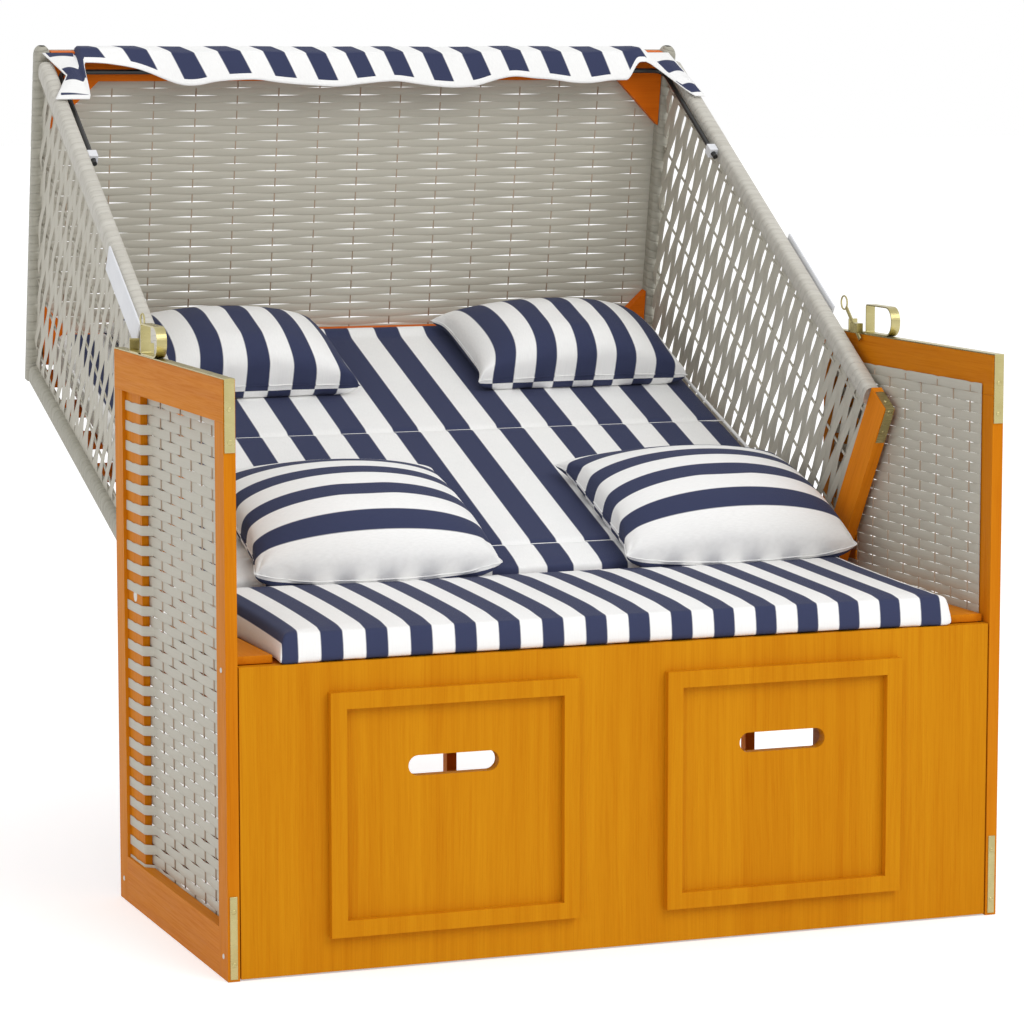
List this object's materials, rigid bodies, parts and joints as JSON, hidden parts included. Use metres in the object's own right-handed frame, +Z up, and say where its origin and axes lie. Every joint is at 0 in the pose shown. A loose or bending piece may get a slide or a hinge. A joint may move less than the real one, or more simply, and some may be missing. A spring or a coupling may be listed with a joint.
{
  "type": "hooded beach chair",
  "caption": "Wooden beach chair with wicker side panels, a reclining wicker hood with striped cushions and a small awning, and pull-out footrests in the base.",
  "frame": {"origin": "on the floor, midway between the sides and midway between the foremost and rearmost points of the whole chair at rest", "axes": "+Z up, -Y out of the front of the seat, +X to the right of someone who looks at the front"},
  "size_m": [1.11, 1.2116, 1.2039],
  "materials": {
    "panel_wood": "satin honey-brown stain over straight pine grain",
    "frame_wood": "satin honey-brown stain on solid pine boards",
    "inner_wood": "plain stained boards inside the base and under the backrest",
    "wicker": "flat woven resin strips, warm grey",
    "wrapped_pole": "wooden pole wound closely with flat grey resin strips",
    "striped_cloth": "woven cover with navy and white stripes along the seat",
    "pillow_cloth": "woven cover with navy and white stripes, piped lower edge",
    "awning_stripes": "thin woven cloth with navy and white stripes and a white hem",
    "brass": "pale brass plating, lightly brushed",
    "steel": "plain zinc-plated bolt",
    "black_steel": "smooth black lacquer",
    "white_plastic": "white moulded plastic"
  },
  "bodies": {
    "base": {"front_panel": "panel_wood", "seat_board": "inner_wood", "seat_rear_rail": "inner_wood", "base_rear_rail": "inner_wood", "seat_cushion": "striped_cloth", "seat_side_rail_left": "inner_wood", "front_stile_left": "frame_wood", "rear_stile_left": "frame_wood", "armrest_rail_left": "frame_wood", "bottom_rail_left": "frame_wood", "pivot_board_left": "frame_wood", "base_wicker_left": "wicker", "pivot_bolt_left": "steel", "armrest_strap_left": "brass", "footrest_guide_left_outer_left": "inner_wood", "footrest_guide_left_outer_right": "inner_wood", "seat_side_rail_right": "inner_wood", "front_stile_right": "frame_wood", "rear_stile_right": "frame_wood", "armrest_rail_right": "frame_wood", "bottom_rail_right": "frame_wood", "pivot_board_right": "frame_wood", "base_wicker_right": "wicker", "pivot_bolt_right": "steel", "armrest_strap_right": "brass", "footrest_guide_right_outer_left": "inner_wood", "footrest_guide_right_outer_right": "inner_wood"},
    "hood": {"hood_wall_wicker": "wicker", "hood_top_beam": "frame_wood", "hood_rear_beam": "frame_wood", "backrest_slats": "inner_wood", "backrest_cushion": "striped_cloth", "hood_front_rail_left": "wrapped_pole", "hood_rear_post_left": "wrapped_pole", "hood_bottom_rail_left": "wrapped_pole", "hood_lower_board_left": "frame_wood", "hood_side_wicker_left": "wicker", "head_pillow_left": "pillow_cloth", "hood_front_rail_right": "wrapped_pole", "hood_rear_post_right": "wrapped_pole", "hood_bottom_rail_right": "wrapped_pole", "hood_lower_board_right": "frame_wood", "hood_side_wicker_right": "wicker", "head_pillow_right": "pillow_cloth"},
    "awning": {"awning_rod": "black_steel", "awning_cloth": "awning_stripes", "awning_clip_left": "white_plastic", "awning_clip_right": "white_plastic"},
    "footrest_left": {"footrest_face_left": "panel_wood", "footrest_moulding_left": "panel_wood", "footrest_box_left": "inner_wood"},
    "latch_lever_left": {"latch_lever_left": "brass"},
    "locking_pin_left": {"locking_pin_left": "brass"},
    "big_pillow_left": {"big_pillow_left": "pillow_cloth"},
    "footrest_right": {"footrest_face_right": "panel_wood", "footrest_moulding_right": "panel_wood", "footrest_box_right": "inner_wood"},
    "latch_lever_right": {"latch_lever_right": "brass"},
    "locking_pin_right": {"locking_pin_right": "brass"},
    "big_pillow_right": {"big_pillow_right": "pillow_cloth"}
  },
  "joints": [
    {"name": "hood_recline", "type": "hinge", "parent": "base", "child": "hood", "pos_m": [0, -0.1323, 0.442], "axis": [1, 0, 0], "range_deg": [0, 45]},
    {"name": "awning_swing", "type": "hinge", "parent": "hood", "child": "awning", "pos_m": [0, 0.27773, 1.037], "axis": [1, 0, 0], "range_deg": [0, 90]},
    {"name": "footrest_left_slide", "type": "slide", "parent": "base", "child": "footrest_left", "axis": [0, -1, 0], "range_m": [0, 0.25]},
    {"name": "footrest_right_slide", "type": "slide", "parent": "base", "child": "footrest_right", "axis": [0, -1, 0], "range_m": [0, 0.25]},
    {"name": "latch_lever_left_lift", "type": "hinge", "parent": "base", "child": "latch_lever_left", "pos_m": [0, -0.19647, 0.7861], "axis": [-1, 0, 0], "range_deg": [0, 35]},
    {"name": "latch_lever_right_lift", "type": "hinge", "parent": "base", "child": "latch_lever_right", "pos_m": [0, -0.19647, 0.7861], "axis": [-1, 0, 0], "range_deg": [0, 35]},
    {"name": "locking_pin_left_pull", "type": "slide", "parent": "base", "child": "locking_pin_left", "axis": [0, 0.7314, 0.682], "range_m": [0, 0.025]},
    {"name": "locking_pin_right_pull", "type": "slide", "parent": "base", "child": "locking_pin_right", "axis": [0, 0.7314, 0.682], "range_m": [0, 0.025]},
    {"name": "big_pillow_left_follow", "type": "hinge", "parent": "base", "child": "big_pillow_left", "pos_m": [0, -0.2195, 0.486], "axis": [1, 0, 0], "range_deg": [0, 45]},
    {"name": "big_pillow_right_follow", "type": "hinge", "parent": "base", "child": "big_pillow_right", "pos_m": [0, -0.2195, 0.486], "axis": [1, 0, 0], "range_deg": [0, 45]}
  ],
  "couplings": [
    {"joint": "big_pillow_left_follow", "follows": "hood_recline", "ratio": 1},
    {"joint": "big_pillow_right_follow", "follows": "hood_recline", "ratio": 1}
  ]
}
